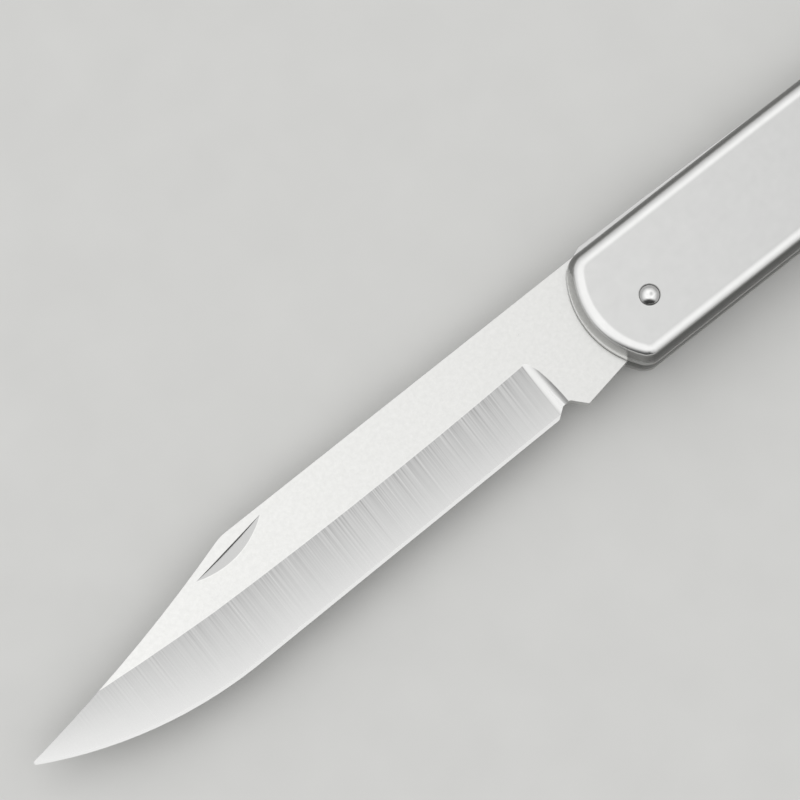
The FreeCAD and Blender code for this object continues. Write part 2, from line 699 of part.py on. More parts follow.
os.makedirs("parts", exist_ok=True)
for piece in PIECES:
    piece.Shape.exportStep(f"parts/{piece.Label}.step")
    print(f"{piece.Label}: {len(piece.Shape.Solids)} solid, {piece.Shape.Volume:.1f} mm3")
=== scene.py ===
"""An open folding pocket knife of ground and polished steel, lying on a pale studio floor.

Lengths in the classes below are millimetres, angles are degrees, and colours are sRGB hex values.
X runs from the tip to the tail, Y towards the back and Z up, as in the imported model.
"""

import json
import logging
import math
from dataclasses import dataclass, field
from enum import Enum

import bpy
from mathutils import Matrix, Vector

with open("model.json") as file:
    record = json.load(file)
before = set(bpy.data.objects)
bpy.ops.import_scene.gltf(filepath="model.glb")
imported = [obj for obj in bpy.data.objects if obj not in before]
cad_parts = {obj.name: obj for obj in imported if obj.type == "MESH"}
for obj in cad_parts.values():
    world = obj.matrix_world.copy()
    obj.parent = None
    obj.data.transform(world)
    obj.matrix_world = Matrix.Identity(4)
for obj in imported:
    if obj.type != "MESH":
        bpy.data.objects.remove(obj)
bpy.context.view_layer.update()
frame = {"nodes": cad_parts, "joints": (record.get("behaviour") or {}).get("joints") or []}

LOG = logging.getLogger("pocket_knife")
MM = 0.001
HALF_TURN = 180.0
# The blade turns about the middle of its stock, so the pivot's height is the middle of the knife.
MIDDLE = frame["joints"][0]["pos_m"][2] / MM
# Share of its strength that each finer layer of a noise pattern keeps.
NOISE_FADE = 0.6
# What a noise pattern gives on the average.
NOISE_MEAN = 0.5


def linear(colour: str) -> tuple[float, float, float, float]:
    """Turns an sRGB hex colour into linear light.

    Args:
        colour: Six hex digits after a hash sign.

    Returns:
        Red, green, blue and a full alpha.
    """
    parts = [int(colour[start:start + 2], 16) / 255 for start in (1, 3, 5)]
    light = [part / 12.92 if part <= 0.04045 else ((part + 0.055) / 1.055) ** 2.4 for part in parts]
    return (*light, 1.0)


def cosine(angle: float) -> float:
    """Cosine of an angle in degrees, which is the upward part of a normal that leans by it."""
    return math.cos(math.radians(angle))


def add_node(
    tree: bpy.types.NodeTree, kind: str, inputs: dict[str, object], **settings: object
) -> bpy.types.Node:
    """Adds one node with its settings, and sets or links its inputs.

    Args:
        tree: The node tree that gets the node.
        kind: Blender's name for the kind of node.
        inputs: For each input's identifier a value, an output socket to link, or a node to link,
            which gives the first output that its settings leave in use.
        settings: Values of the node's own properties.

    Returns:
        The new node.
    """
    node = tree.nodes.new(kind)
    for name, value in settings.items():
        setattr(node, name, value)
    sockets = {socket.identifier: socket for socket in node.inputs}
    for name, value in inputs.items():
        if isinstance(value, bpy.types.Node):
            value = next(output for output in value.outputs if output.enabled)
        if isinstance(value, bpy.types.NodeSocket):
            tree.links.new(value, sockets[name])
        else:
            sockets[name].default_value = value
    return node


def empty_material(name: str) -> bpy.types.Material:
    """Makes a material whose node tree is still empty.

    Args:
        name: What the surface is and how it was made.

    Returns:
        The material.
    """
    material = bpy.data.materials.new(name)
    material.use_nodes = True
    material.node_tree.nodes.clear()
    return material


def world_normal(tree: bpy.types.NodeTree, direction: bpy.types.Node) -> bpy.types.Node:
    """Turns a direction in a piece's own axes into a normal in the world.

    Args:
        tree: The node tree that gets the nodes.
        direction: The node that gives the direction, of any length.

    Returns:
        The node that gives the normal.
    """
    unit = add_node(tree, "ShaderNodeVectorMath", {"Vector": direction}, operation="NORMALIZE")
    return add_node(
        tree, "ShaderNodeVectorTransform", {"Vector": unit},
        vector_type="NORMAL", convert_from="OBJECT", convert_to="WORLD")


class Grain(Enum):
    """Which way the marks of a surface run, as the axes along which a mark is long."""

    ALONG = (True, False, False)
    ACROSS = (False, True, True)
    UPRIGHT = (False, False, True)
    ROUND = (False, False, False)

    def scale(self, width: float, length: float) -> tuple[float, float, float]:
        """Pattern scale per metre for marks of a width and a length in millimetres."""
        return tuple(1 / ((length if runs else width) * MM) for runs in self.value)


@dataclass(frozen=True, kw_only=True)
class MetalFinish:
    """A metal surface with marks of one width, length and direction.

    Attributes:
        name: What the surface is and how it was made.
        light: Colour between the marks.
        dark: Colour in the marks.
        roughness: Lowest and highest roughness.
        grain: Direction of the marks.
        mark_width: Width of a mark.
        mark_length: Length of a mark.
        mark_depth: Depth of a mark, as the light sees it.
        mark_layers: Layers of ever finer marks over the first.
    """

    name: str
    light: str
    dark: str
    roughness: tuple[float, float]
    grain: Grain
    mark_width: float
    mark_length: float
    mark_depth: float
    mark_layers: float = 3.0

    def tone(
        self, tree: bpy.types.NodeTree, place: bpy.types.Node, colour: bpy.types.Node
    ) -> bpy.types.Node:
        """The colour that reaches the shader, here the same all round the piece."""
        return colour

    def shape(self, tree: bpy.types.NodeTree, place: bpy.types.Node) -> dict[str, bpy.types.Node]:
        """What the bump node adds its marks to, here the mesh's own smooth normal."""
        return {}

    def material(self) -> bpy.types.Material:
        """Builds the material.

        Returns:
            A node material with marks in its colour, roughness and height.
        """
        material = empty_material(self.name)
        tree = material.node_tree
        place = add_node(tree, "ShaderNodeTexCoord", {})
        spread = add_node(tree, "ShaderNodeMapping", {
            "Vector": place.outputs["Object"],
            "Scale": self.grain.scale(self.mark_width, self.mark_length),
        })
        marks = add_node(tree, "ShaderNodeTexNoise", {
            "Vector": spread, "Scale": 1.0, "Detail": self.mark_layers, "Roughness": NOISE_FADE,
        })
        colour = add_node(tree, "ShaderNodeMix", {
            "Factor_Float": marks, "A_Color": linear(self.dark), "B_Color": linear(self.light),
        }, data_type="RGBA")
        lowest, highest = self.roughness
        gloss = add_node(tree, "ShaderNodeMapRange", {"Value": marks, "To Min": highest, "To Max": lowest})
        bump = add_node(tree, "ShaderNodeBump", {
            "Height": marks, "Distance": self.mark_depth * MM, "Strength": 1.0,
            **self.shape(tree, place),
        })
        shader = add_node(tree, "ShaderNodeBsdfPrincipled", {
            "Base Color": self.tone(tree, place, colour), "Metallic": 1.0,
            "Roughness": gloss, "Normal": bump,
        })
        add_node(tree, "ShaderNodeOutputMaterial", {"Surface": shader})
        return material


@dataclass(frozen=True, kw_only=True)
class CoverFinish(MetalFinish):
    """A buffed face and rim, with painted shade on the walls.

    Attributes:
        wall: Colour of the walls along the handle, a painted shade darker than the face.
        front: Colour of the wall over the blade, a painted shade lighter than on the other walls.
        rim_lean: How far a surface leans where the buffed rim starts to turn into the wall.
        wall_lean: How far a surface leans where it is all wall.
        steepness: How many times as steep the light sees the wall, because the sheet is creased there.
        front_turn: How far from straight ahead the wall faces where it leaves the front's colour.
        side_turn: How far it has turned where it has the sides' colour.
        slack: How much further than its face a normal may lean along the handle, as a sine.
        first_lean: How far the mesh's normals lean at once where the rim starts.
        true_lean: How far they lean from where on they fit the rim.
    """

    wall: str
    front: str
    rim_lean: float
    wall_lean: float
    steepness: float = 6.0
    front_turn: float = 25.0
    side_turn: float = 75.0
    slack: float = 0.01
    first_lean: float = 4.2
    true_lean: float = 8.2

    def tone(
        self, tree: bpy.types.NodeTree, place: bpy.types.Node, colour: bpy.types.Node
    ) -> bpy.types.Node:
        """Paints shade on the walls, less on the front one than on the others.

        Args:
            tree: The material's node tree.
            place: The node that gives coordinates.
            colour: The node that gives the colour of the buffed face.

        Returns:
            The node that gives the colour of the whole cover.
        """
        facing = add_node(tree, "ShaderNodeSeparateXYZ", {"Vector": place.outputs["Normal"]})
        upward = add_node(tree, "ShaderNodeMath", {"Value": facing.outputs["Z"]}, operation="ABSOLUTE")
        # Painted shade where the rim has turned into the wall.
        painted_wall_shade = add_node(tree, "ShaderNodeMapRange", {
            "Value": upward, "From Min": cosine(self.rim_lean), "From Max": cosine(self.wall_lean),
        }, interpolation_type="SMOOTHSTEP")
        forward = add_node(tree, "ShaderNodeMath", {
            "Value": facing.outputs["X"], "Value_001": -1.0,
        }, operation="MULTIPLY")
        turn = add_node(tree, "ShaderNodeMath", {
            "Value": facing.outputs["Y"], "Value_001": forward,
        }, operation="ARCTAN2")
        aside = add_node(tree, "ShaderNodeMath", {"Value": turn}, operation="ABSOLUTE")
        in_front = add_node(tree, "ShaderNodeMapRange", {
            "Value": aside,
            "From Min": math.radians(self.side_turn), "From Max": math.radians(self.front_turn),
        })
        # The painted shade is lighter on the wall over the blade than on the others.
        wall = add_node(tree, "ShaderNodeMix", {
            "Factor_Float": in_front, "A_Color": linear(self.wall), "B_Color": linear(self.front),
        }, data_type="RGBA")
        return add_node(tree, "ShaderNodeMix", {
            "Factor_Float": painted_wall_shade, "A_Color": colour, "B_Color": wall,
        }, data_type="RGBA")

    def hold(self, tree: bpy.types.NodeTree, smooth: bpy.types.Node) -> bpy.types.Node:
        """Holds the smooth normal close to its face along the handle.

        A sliver between two long faces of the rim pulls the normals of both aside, which would
        draw dark dashes along it.

        Args:
            tree: The material's node tree.
            smooth: The node that gives the parts of the mesh's smooth normal.

        Returns:
            The node that gives the normal's part along the handle.
        """
        surface = add_node(tree, "ShaderNodeNewGeometry", {})
        turned = add_node(
            tree, "ShaderNodeVectorTransform", {"Vector": surface.outputs["True Normal"]},
            vector_type="NORMAL", convert_from="WORLD", convert_to="OBJECT")
        face = add_node(tree, "ShaderNodeSeparateXYZ", {"Vector": turned})
        lean = add_node(tree, "ShaderNodeMath", {"Value": face.outputs["X"]}, operation="ABSOLUTE")
        reach = add_node(tree, "ShaderNodeMath", {"Value": lean, "Value_001": self.slack}, operation="ADD")
        least = add_node(tree, "ShaderNodeMath", {
            "Value": face.outputs["X"], "Value_001": reach,
        }, operation="SUBTRACT")
        most = add_node(tree, "ShaderNodeMath", {
            "Value": face.outputs["X"], "Value_001": reach,
        }, operation="ADD")
        return add_node(tree, "ShaderNodeClamp", {"Value": smooth.outputs["X"], "Min": least, "Max": most})

    def shape(self, tree: bpy.types.NodeTree, place: bpy.types.Node) -> dict[str, bpy.types.Node]:
        """Lets the rim start level, creases it into the wall, and holds stray normals.

        The mesh's normals lean at once where the rim starts, which would draw a hard line round
        the face.

        Args:
            tree: The material's node tree.
            place: The node that gives coordinates.

        Returns:
            The node that gives the new normal, as an input of the bump node.
        """
        smooth = add_node(tree, "ShaderNodeSeparateXYZ", {"Vector": place.outputs["Normal"]})
        upward = add_node(tree, "ShaderNodeMath", {"Value": smooth.outputs["Z"]}, operation="ABSOLUTE")
        level = add_node(tree, "ShaderNodeMapRange", {
            "Value": upward, "From Min": cosine(self.first_lean), "From Max": cosine(self.true_lean),
        })
        creased = add_node(tree, "ShaderNodeMapRange", {
            "Value": upward, "From Min": cosine(self.rim_lean), "From Max": cosine(self.wall_lean),
            "To Min": 1.0, "To Max": self.steepness,
        })
        ease = add_node(tree, "ShaderNodeMath", {"Value": level, "Value_001": creased}, operation="MULTIPLY")
        along = add_node(tree, "ShaderNodeMath", {
            "Value": self.hold(tree, smooth), "Value_001": ease,
        }, operation="MULTIPLY")
        across = add_node(tree, "ShaderNodeMath", {
            "Value": smooth.outputs["Y"], "Value_001": ease,
        }, operation="MULTIPLY")
        eased = add_node(tree, "ShaderNodeCombineXYZ", {"X": along, "Y": across, "Z": smooth.outputs["Z"]})
        return {"Normal": world_normal(tree, eased)}


@dataclass(frozen=True, kw_only=True)
class HeadFinish(MetalFinish):
    """A rivet head that looks steeper at its edge than its smooth dome.

    Attributes:
        steepness: How many times as steep the light sees it.
    """

    steepness: float

    def shape(self, tree: bpy.types.NodeTree, place: bpy.types.Node) -> dict[str, bpy.types.Node]:
        """Leans the smooth normal further out.

        Args:
            tree: The material's node tree.
            place: The node that gives coordinates.

        Returns:
            The node that gives the steeper normal, as an input of the bump node.
        """
        steeper = add_node(tree, "ShaderNodeVectorMath", {
            "Vector": place.outputs["Normal"], "Vector_001": (self.steepness, self.steepness, 1.0),
        }, operation="MULTIPLY")
        return {"Normal": world_normal(tree, steeper)}


# Covers of stainless sheet: face and rim buffed to a soft mirror with a faint haze from the wheel,
# walls darkened by painted shade, the wall over the blade less.
POLISHED_COVER = CoverFinish(
    name="buffed_stainless_cover", light="#D6D6D5", dark="#CCCCCB", roughness=(0.16, 0.22),
    grain=Grain.ROUND, mark_width=2.5, mark_length=2.5, mark_depth=0.0004,
    wall="#838381", front="#C8C8C6", rim_lean=37.0, wall_lean=50.0)
# Rivet of turned steel, bright, with the shallow dents of the heading tool and a steep edge.
HEADED_RIVET = HeadFinish(
    name="headed_steel_rivet", light="#E4E4E3", dark="#C8C8C7", roughness=(0.06, 0.14),
    grain=Grain.ROUND, mark_width=0.5, mark_length=0.5, mark_depth=0.01, steepness=1.35)
# Eyelet of turned steel, bright, with the shallow dents of the rolling tool.
ROLLED_EYELET = MetalFinish(
    name="rolled_steel_eyelet", light="#E4E4E3", dark="#C8C8C7", roughness=(0.06, 0.14),
    grain=Grain.ROUND, mark_width=0.5, mark_length=0.5, mark_depth=0.01)
# Spring ground along its length on a belt: long lines that spread a highlight across, drawn
# wider than the belt's grit leaves them so that they show.
BELT_GROUND_SPRING = MetalFinish(
    name="belt_ground_spring_steel", light="#DADAD9", dark="#B9B9B8", roughness=(0.2, 0.34),
    grain=Grain.ALONG, mark_width=0.12, mark_length=8.0, mark_depth=0.002)
# Liners of cold rolled sheet: greyer, with a dull even sheen and faint rolling lines, drawn wider
# than real ones so that they show.
ROLLED_LINER = MetalFinish(
    name="cold_rolled_steel_liner", light="#B5B5B3", dark="#9C9C9A", roughness=(0.3, 0.42),
    grain=Grain.ALONG, mark_width=0.2, mark_length=12.0, mark_depth=0.002)
# Pins cut from drawn wire: grey, with lines along the wire, drawn wider than real ones.
DRAWN_PIN = MetalFinish(
    name="drawn_steel_pin", light="#B2B2B0", dark="#8E8E8C", roughness=(0.25, 0.4),
    grain=Grain.UPRIGHT, mark_width=0.1, mark_length=4.0, mark_depth=0.002)
# Washers and bush of rolled phosphor bronze: warm, slightly dulled by oil.
PHOSPHOR_BRONZE = MetalFinish(
    name="rolled_phosphor_bronze", light="#D2A670", dark="#B07F49", roughness=(0.25, 0.42),
    grain=Grain.ROUND, mark_width=0.6, mark_length=0.6, mark_depth=0.002)
# Collars of turned aluminium: pale, dulled by small tool marks all over.
TURNED_ALUMINIUM = MetalFinish(
    name="turned_aluminium_collar", light="#D9DBDD", dark="#BFC1C3", roughness=(0.3, 0.45),
    grain=Grain.ROUND, mark_width=0.3, mark_length=0.3, mark_depth=0.002)


@dataclass(frozen=True)
class BladeSpot:
    """The nodes that tell where on the blade the light falls.

    Attributes:
        place: Coordinates and smooth normal.
        parts: Place along, across and above the blade.
        level: Height above the middle of the stock.
        depth: Distance from the middle of the stock.
    """

    place: bpy.types.Node
    parts: bpy.types.Node
    level: bpy.types.Node
    depth: bpy.types.Node


@dataclass(frozen=True)
class BladeZones:
    """The nodes that mask the blade's surfaces.

    Attributes:
        ground: All that lies below the flats, but for the spine and other walls.
        cove: The end of the blade with the cove.
        nick: The part of the blade with the nail nick, which gets painted shade.
        nick_wall_painted_shade: The steep wall of the nick, which gets a dark painted shade.
        edge: The sharpened edge.
    """

    ground: bpy.types.Node
    cove: bpy.types.Node
    nick: bpy.types.Node
    nick_wall_painted_shade: bpy.types.Node
    edge: bpy.types.Node


@dataclass(frozen=True)
class BladeFinish:
    """Blade steel: satin flats, bevels ground across, a polished cove and a bright sharpened edge.

    Depth below the flats tells the bevels from the flats. The cove is the part of the bevels
    nearest the handle, the nick lies high on the blade, and the sharpened edge leans the most.
    A pair of values for a mask is where it starts and where it is full.

    Attributes:
        name: What the surface is and how it was made.
        flat_light: Colour of the flats.
        flat_dark: Colour of the tumbled specks in the flats.
        bevel_light: Colour of the bevels near the edge.
        bevel_lines_and_painted_shade: Colour in the grinding lines near the grind line, which also paints
            shade: the bevels are drawn darker towards the grind line and lighter towards the tip.
        cove: Colour of the cove at the end of the bevels.
        nick: Colour of the pressed nail nick, a painted shade greyer than the flats.
        nick_wall_painted_shade: Colour of the steep wall of the nick, a dark painted shade.
        edge: Colour of the sharpened edge.
        half_stock: Half the thickness of the stock.
        half_edge: Half the thickness behind the sharpened edge.
        half_thin: Half the thickness above which no surface belongs to the edge.
        blend: Length over which one surface takes over from the next.
        cove_span: Mask of the cove along the blade.
        nick_floor: Lowest part of the nick across the blade.
        nick_facing: Mask of the nick's steep wall, by the part of its normal across the blade.
        wall_lean: Mask of walls, as the spine is, by the cosine of their lean.
        edge_lean: Mask of the sharpened edge, by the cosine of its lean.
        line_end: Where the grinding lines and the painted shade start to fade towards the tip.
        line_run: Length over which they fade.
        calm_start: Where the lines start to blur into each other towards the tip.
        calm_run: Length over which they blur.
        line_contrast: Contrast of the lines at the grind line.
        line_rest: Share of that contrast that is left at the edge.
        line_width: Width of a grinding line, drawn wider than a grit leaves it so that it shows.
        line_length: Length of a grinding line.
        line_layers: Layers of finer lines over the first.
        speck: Size of the tumbled specks, drawn coarser than real ones so that they show.
        speck_layers: Layers of finer specks over the first.
        roughness: Lowest and highest roughness of flats and bevels.
        mark_depth: Depth of specks and lines, as the light sees it.
        edge_roughness: Roughness of the stoned edge.
        edge_roll: Share of its lean that the edge loses in the light, because stoning rounds it.
    """

    name: str = "satin_ground_blade_steel"
    flat_light: str = "#E0E0DE"
    flat_dark: str = "#D2D2D0"
    bevel_light: str = "#D2D2D1"
    bevel_lines_and_painted_shade: str = "#707070"
    cove: str = "#D0D0CF"
    nick: str = "#B4B4B3"
    nick_wall_painted_shade: str = "#4C4C4B"
    edge: str = "#D2D2D1"
    half_stock: float = 1.25
    half_edge: float = 0.22
    half_thin: float = 0.625
    blend: float = 0.02
    cove_span: tuple[float, float] = (-18.26, -18.18)
    nick_floor: float = 5.0
    nick_facing: tuple[float, float] = (-0.5, -0.6)
    wall_lean: tuple[float, float] = (0.4, 0.3)
    edge_lean: tuple[float, float] = (0.95, 0.93)
    line_end: float = -70.0
    line_run: float = 120.0
    calm_start: float = -48.0
    calm_run: float = 60.0
    line_contrast: float = 1.05
    line_rest: float = 0.45
    line_width: float = 0.25
    line_length: float = 40.0
    line_layers: float = 1.0
    speck: float = 0.6
    speck_layers: float = 4.0
    roughness: tuple[float, float] = (0.2, 0.3)
    mark_depth: float = 0.002
    edge_roughness: float = 0.35
    edge_roll: float = 0.6

    def find(self, tree: bpy.types.NodeTree) -> BladeSpot:
        """Adds the nodes that tell where on the blade the light falls.

        Args:
            tree: The material's node tree.

        Returns:
            The nodes.
        """
        place = add_node(tree, "ShaderNodeTexCoord", {})
        parts = add_node(tree, "ShaderNodeSeparateXYZ", {"Vector": place.outputs["Object"]})
        level = add_node(tree, "ShaderNodeMath", {
            "Value": parts.outputs["Z"], "Value_001": MIDDLE * MM,
        }, operation="SUBTRACT")
        depth = add_node(tree, "ShaderNodeMath", {"Value": level}, operation="ABSOLUTE")
        return BladeSpot(place, parts, level, depth)

    def mask(self, tree: bpy.types.NodeTree, spot: BladeSpot) -> BladeZones:
        """Masks the surfaces of the blade.

        Args:
            tree: The material's node tree.
            spot: Where on the blade the light falls.

        Returns:
            The masks.
        """
        surface = add_node(tree, "ShaderNodeNewGeometry", {})
        facing = add_node(tree, "ShaderNodeSeparateXYZ", {"Vector": surface.outputs["True Normal"]})
        upward = add_node(tree, "ShaderNodeMath", {"Value": facing.outputs["Z"]}, operation="ABSOLUTE")
        heading = add_node(tree, "ShaderNodeSeparateXYZ", {"Vector": spot.place.outputs["Normal"]})
        cove = add_node(tree, "ShaderNodeMapRange", {
            "Value": spot.parts.outputs["X"],
            "From Min": self.cove_span[0] * MM, "From Max": self.cove_span[1] * MM,
        })
        nick = add_node(tree, "ShaderNodeMapRange", {
            "Value": spot.parts.outputs["Y"],
            "From Min": self.nick_floor * MM, "From Max": (self.nick_floor + self.blend) * MM,
        })
        wall = add_node(tree, "ShaderNodeMapRange", {
            "Value": upward, "From Min": self.wall_lean[0], "From Max": self.wall_lean[1],
        })
        facing_edge = add_node(tree, "ShaderNodeMapRange", {
            "Value": heading.outputs["Y"],
            "From Min": self.nick_facing[0], "From Max": self.nick_facing[1],
        })
        nick_side = add_node(tree, "ShaderNodeMath", {
            "Value": nick, "Value_001": facing_edge,
        }, operation="MULTIPLY")
        # The nick's steep wall gets a dark painted shade.
        nick_wall_painted_shade = add_node(tree, "ShaderNodeMath", {
            "Value": wall, "Value_001": nick_side,
        }, operation="MULTIPLY")
        other_wall = add_node(tree, "ShaderNodeMath", {
            "Value": wall, "Value_001": nick_wall_painted_shade,
        }, operation="SUBTRACT", use_clamp=True)
        below = add_node(tree, "ShaderNodeMapRange", {
            "Value": spot.depth,
            "From Min": (self.half_stock - self.blend / 2) * MM,
            "From Max": (self.half_stock - self.blend * 3 / 2) * MM,
        })
        ground = add_node(tree, "ShaderNodeMath", {
            "Value": below, "Value_001": other_wall,
        }, operation="SUBTRACT", use_clamp=True)
        thin = add_node(tree, "ShaderNodeMapRange", {
            "Value": spot.depth,
            "From Min": self.half_thin * MM, "From Max": (self.half_thin - self.blend) * MM,
        })
        leaning = add_node(tree, "ShaderNodeMapRange", {
            "Value": upward, "From Min": self.edge_lean[0], "From Max": self.edge_lean[1],
        })
        facet = add_node(tree, "ShaderNodeMath", {"Value": leaning, "Value_001": thin}, operation="MULTIPLY")
        edge = add_node(tree, "ShaderNodeMath", {
            "Value": facet, "Value_001": other_wall,
        }, operation="SUBTRACT", use_clamp=True)
        return BladeZones(ground, cove, nick, nick_wall_painted_shade, edge)

    def shade(self, tree: bpy.types.NodeTree, spot: BladeSpot, lines: bpy.types.Node) -> bpy.types.Node:
        """Works out how dark the bevels are: the grinding lines, and painted shade that is darkest at the
        grind line and fades towards the tip.

        Args:
            tree: The material's node tree.
            spot: Where on the blade the light falls.
            lines: The pattern of the grinding lines.

        Returns:
            The node that gives the share of the dark colour.
        """
        thickness = add_node(tree, "ShaderNodeMapRange", {
            "Value": spot.depth, "From Min": self.half_edge * MM, "From Max": self.half_stock * MM,
        })
        # The bevels are hollow, so the way up from the edge goes with the root of the thickness.
        way_up = add_node(tree, "ShaderNodeMath", {"Value": thickness}, operation="SQRT")
        kept = add_node(tree, "ShaderNodeMath", {
            "Value": way_up,
            "Value_001": self.line_contrast * (1 - self.line_rest),
            "Value_002": self.line_contrast * self.line_rest,
        }, operation="MULTIPLY_ADD")
        clear = add_node(tree, "ShaderNodeMapRange", {
            "Value": spot.parts.outputs["X"],
            "From Min": (self.calm_start - self.calm_run) * MM, "From Max": self.calm_start * MM,
        })
        contrast = add_node(tree, "ShaderNodeMath", {
            "Value": clear, "Value_001": kept,
        }, operation="MULTIPLY")
        calmed = add_node(tree, "ShaderNodeMix", {
            "Factor_Float": contrast, "A_Float": NOISE_MEAN, "B_Float": lines,
        }, clamp_factor=False)
        # The painted shade fades towards the tip.
        off_tip = add_node(tree, "ShaderNodeMapRange", {
            "Value": spot.parts.outputs["X"],
            "From Min": (self.line_end - self.line_run) * MM, "From Max": self.line_end * MM,
        })
        share = add_node(tree, "ShaderNodeMath", {
            "Value": way_up, "Value_001": off_tip,
        }, operation="MULTIPLY")
        return add_node(tree, "ShaderNodeMath", {
            "Value": calmed, "Value_001": share,
        }, operation="MULTIPLY")

    def colour(
        self, tree: bpy.types.NodeTree, zones: BladeZones, specks: bpy.types.Node, shade: bpy.types.Node
    ) -> bpy.types.Node:
        """Colours the surfaces of the blade.

        Args:
            tree: The material's node tree.
            zones: The masks of the surfaces.
            specks: The pattern of the tumbled specks.
            shade: The share of the dark colour on the bevels.

        Returns:
            The node that gives the colour of the whole blade.
        """
        flat = add_node(tree, "ShaderNodeMix", {
            "Factor_Float": specks, "A_Color": linear(self.flat_dark), "B_Color": linear(self.flat_light),
        }, data_type="RGBA")
        # The bevels' grinding lines, over painted shade that is darkest at the grind line and fades towards
        # the tip.
        colour = add_node(tree, "ShaderNodeMix", {
            "Factor_Float": shade, "A_Color": linear(self.bevel_light), "B_Color": linear(self.bevel_lines_and_painted_shade),
        }, data_type="RGBA")
        # Polished cove, then painted shade in the nick and a darker painted shade on its steep wall.
        for zone, over in (
            (zones.cove, self.cove),
            (zones.nick, self.nick),
            (zones.nick_wall_painted_shade, self.nick_wall_painted_shade),
        ):
            colour = add_node(tree, "ShaderNodeMix", {
                "Factor_Float": zone, "A_Color": colour, "B_Color": linear(over),
            }, data_type="RGBA")
        colour = add_node(tree, "ShaderNodeMix", {
            "Factor_Float": zones.ground, "A_Color": flat, "B_Color": colour,
        }, data_type="RGBA")
        return add_node(tree, "ShaderNodeMix", {
            "Factor_Float": zones.edge, "A_Color": colour, "B_Color": linear(self.edge),
        }, data_type="RGBA")

    def roll(self, tree: bpy.types.NodeTree, spot: BladeSpot, edge: bpy.types.Node) -> bpy.types.Node:
        """Rounds the sharpened edge in the light.

        Args:
            tree: The material's node tree.
            spot: Where on the blade the light falls.
            edge: The mask of the sharpened edge.

        Returns:
            The node that gives the normal of the whole blade.
        """
        near_or_far = add_node(tree, "ShaderNodeMath", {"Value": spot.level}, operation="SIGN")
        upright = add_node(tree, "ShaderNodeCombineXYZ", {"Z": near_or_far})
        share = add_node(tree, "ShaderNodeMath", {
            "Value": edge, "Value_001": self.edge_roll,
        }, operation="MULTIPLY")
        rolled = add_node(tree, "ShaderNodeMix", {
            "Factor_Float": share, "A_Vector": spot.place.outputs["Normal"], "B_Vector": upright,
        }, data_type="VECTOR")
        return world_normal(tree, rolled)

    def material(self) -> bpy.types.Material:
        """Builds the material.

        Returns:
            A node material whose marks follow the flats, the bevels, the cove, the nick and the edge.
        """
        material = empty_material(self.name)
        tree = material.node_tree
        spot = self.find(tree)
        zones = self.mask(tree, spot)
        specks = add_node(tree, "ShaderNodeTexNoise", {
            "Vector": spot.place.outputs["Object"], "Scale": 1 / (self.speck * MM),
            "Detail": self.speck_layers, "Roughness": NOISE_FADE,
        })
        spread = add_node(tree, "ShaderNodeMapping", {
            "Vector": spot.place.outputs["Object"],
            "Scale": Grain.ACROSS.scale(self.line_width, self.line_length),
        })
        lines = add_node(tree, "ShaderNodeTexNoise", {
            "Vector": spread, "Scale": 1.0, "Detail": self.line_layers, "Roughness": NOISE_FADE,
        })
        colour = self.colour(tree, zones, specks, self.shade(tree, spot, lines))
        marks = add_node(tree, "ShaderNodeMix", {
            "Factor_Float": zones.ground, "A_Float": specks, "B_Float": lines,
        })
        lowest, highest = self.roughness
        gloss = add_node(tree, "ShaderNodeMapRange", {"Value": marks, "To Min": highest, "To Max": lowest})
        stoned = add_node(tree, "ShaderNodeMix", {
            "Factor_Float": zones.edge, "A_Float": gloss, "B_Float": self.edge_roughness,
        })
        bump = add_node(tree, "ShaderNodeBump", {
            "Height": marks, "Distance": self.mark_depth * MM, "Strength": 1.0,
            "Normal": self.roll(tree, spot, zones.edge),
        })
        shader = add_node(tree, "ShaderNodeBsdfPrincipled", {
            "Base Color": colour, "Metallic": 1.0, "Roughness": stoned, "Normal": bump,
        })
        add_node(tree, "ShaderNodeOutputMaterial", {"Surface": shader})
        return material


def dress(node: str, material: bpy.types.Material) -> None:
    """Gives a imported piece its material.

    Args:
        node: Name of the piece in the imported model.
        material: Its finish.
    """
    piece = frame["nodes"][node]
    piece.data.materials.clear()
    piece.data.materials.append(material)
    LOG.info("%s is dressed as %s", node, material.name)


@dataclass
class Blade:
    """The clip-point blade, one piece of steel.

    Attributes:
        node: Name of the blade.
        finish: Its surfaces.
    """

    node: str = "blade"
    finish: BladeFinish = field(default_factory=BladeFinish)

    def build(self) -> None:
        """Dresses the blade."""
        dress(self.node, self.finish.material())


@dataclass
class Handle:
    """Covers, liners and the back spring, with the hidden pins that hold the spring.

    Attributes:
        covers: Names of the pressed covers.
        liners: Names of the plates beside the blade.
        springs: Name of the back spring.
        pins: Names of the pins through the spring.
    """

    covers: tuple[str, ...] = ("near_cover", "far_cover")
    liners: tuple[str, ...] = ("near_liner", "far_liner")
    springs: tuple[str, ...] = ("back_spring",)
    pins: tuple[str, ...] = ("spring_pin", "tail_pin")

    def build(self) -> None:
        """Dresses every piece of the handle."""
        for nodes, finish in (
            (self.covers, POLISHED_COVER),
            (self.liners, ROLLED_LINER),
            (self.springs, BELT_GROUND_SPRING),
            (self.pins, DRAWN_PIN),
        ):
            material = finish.material()
            for node in nodes:
                dress(node, material)


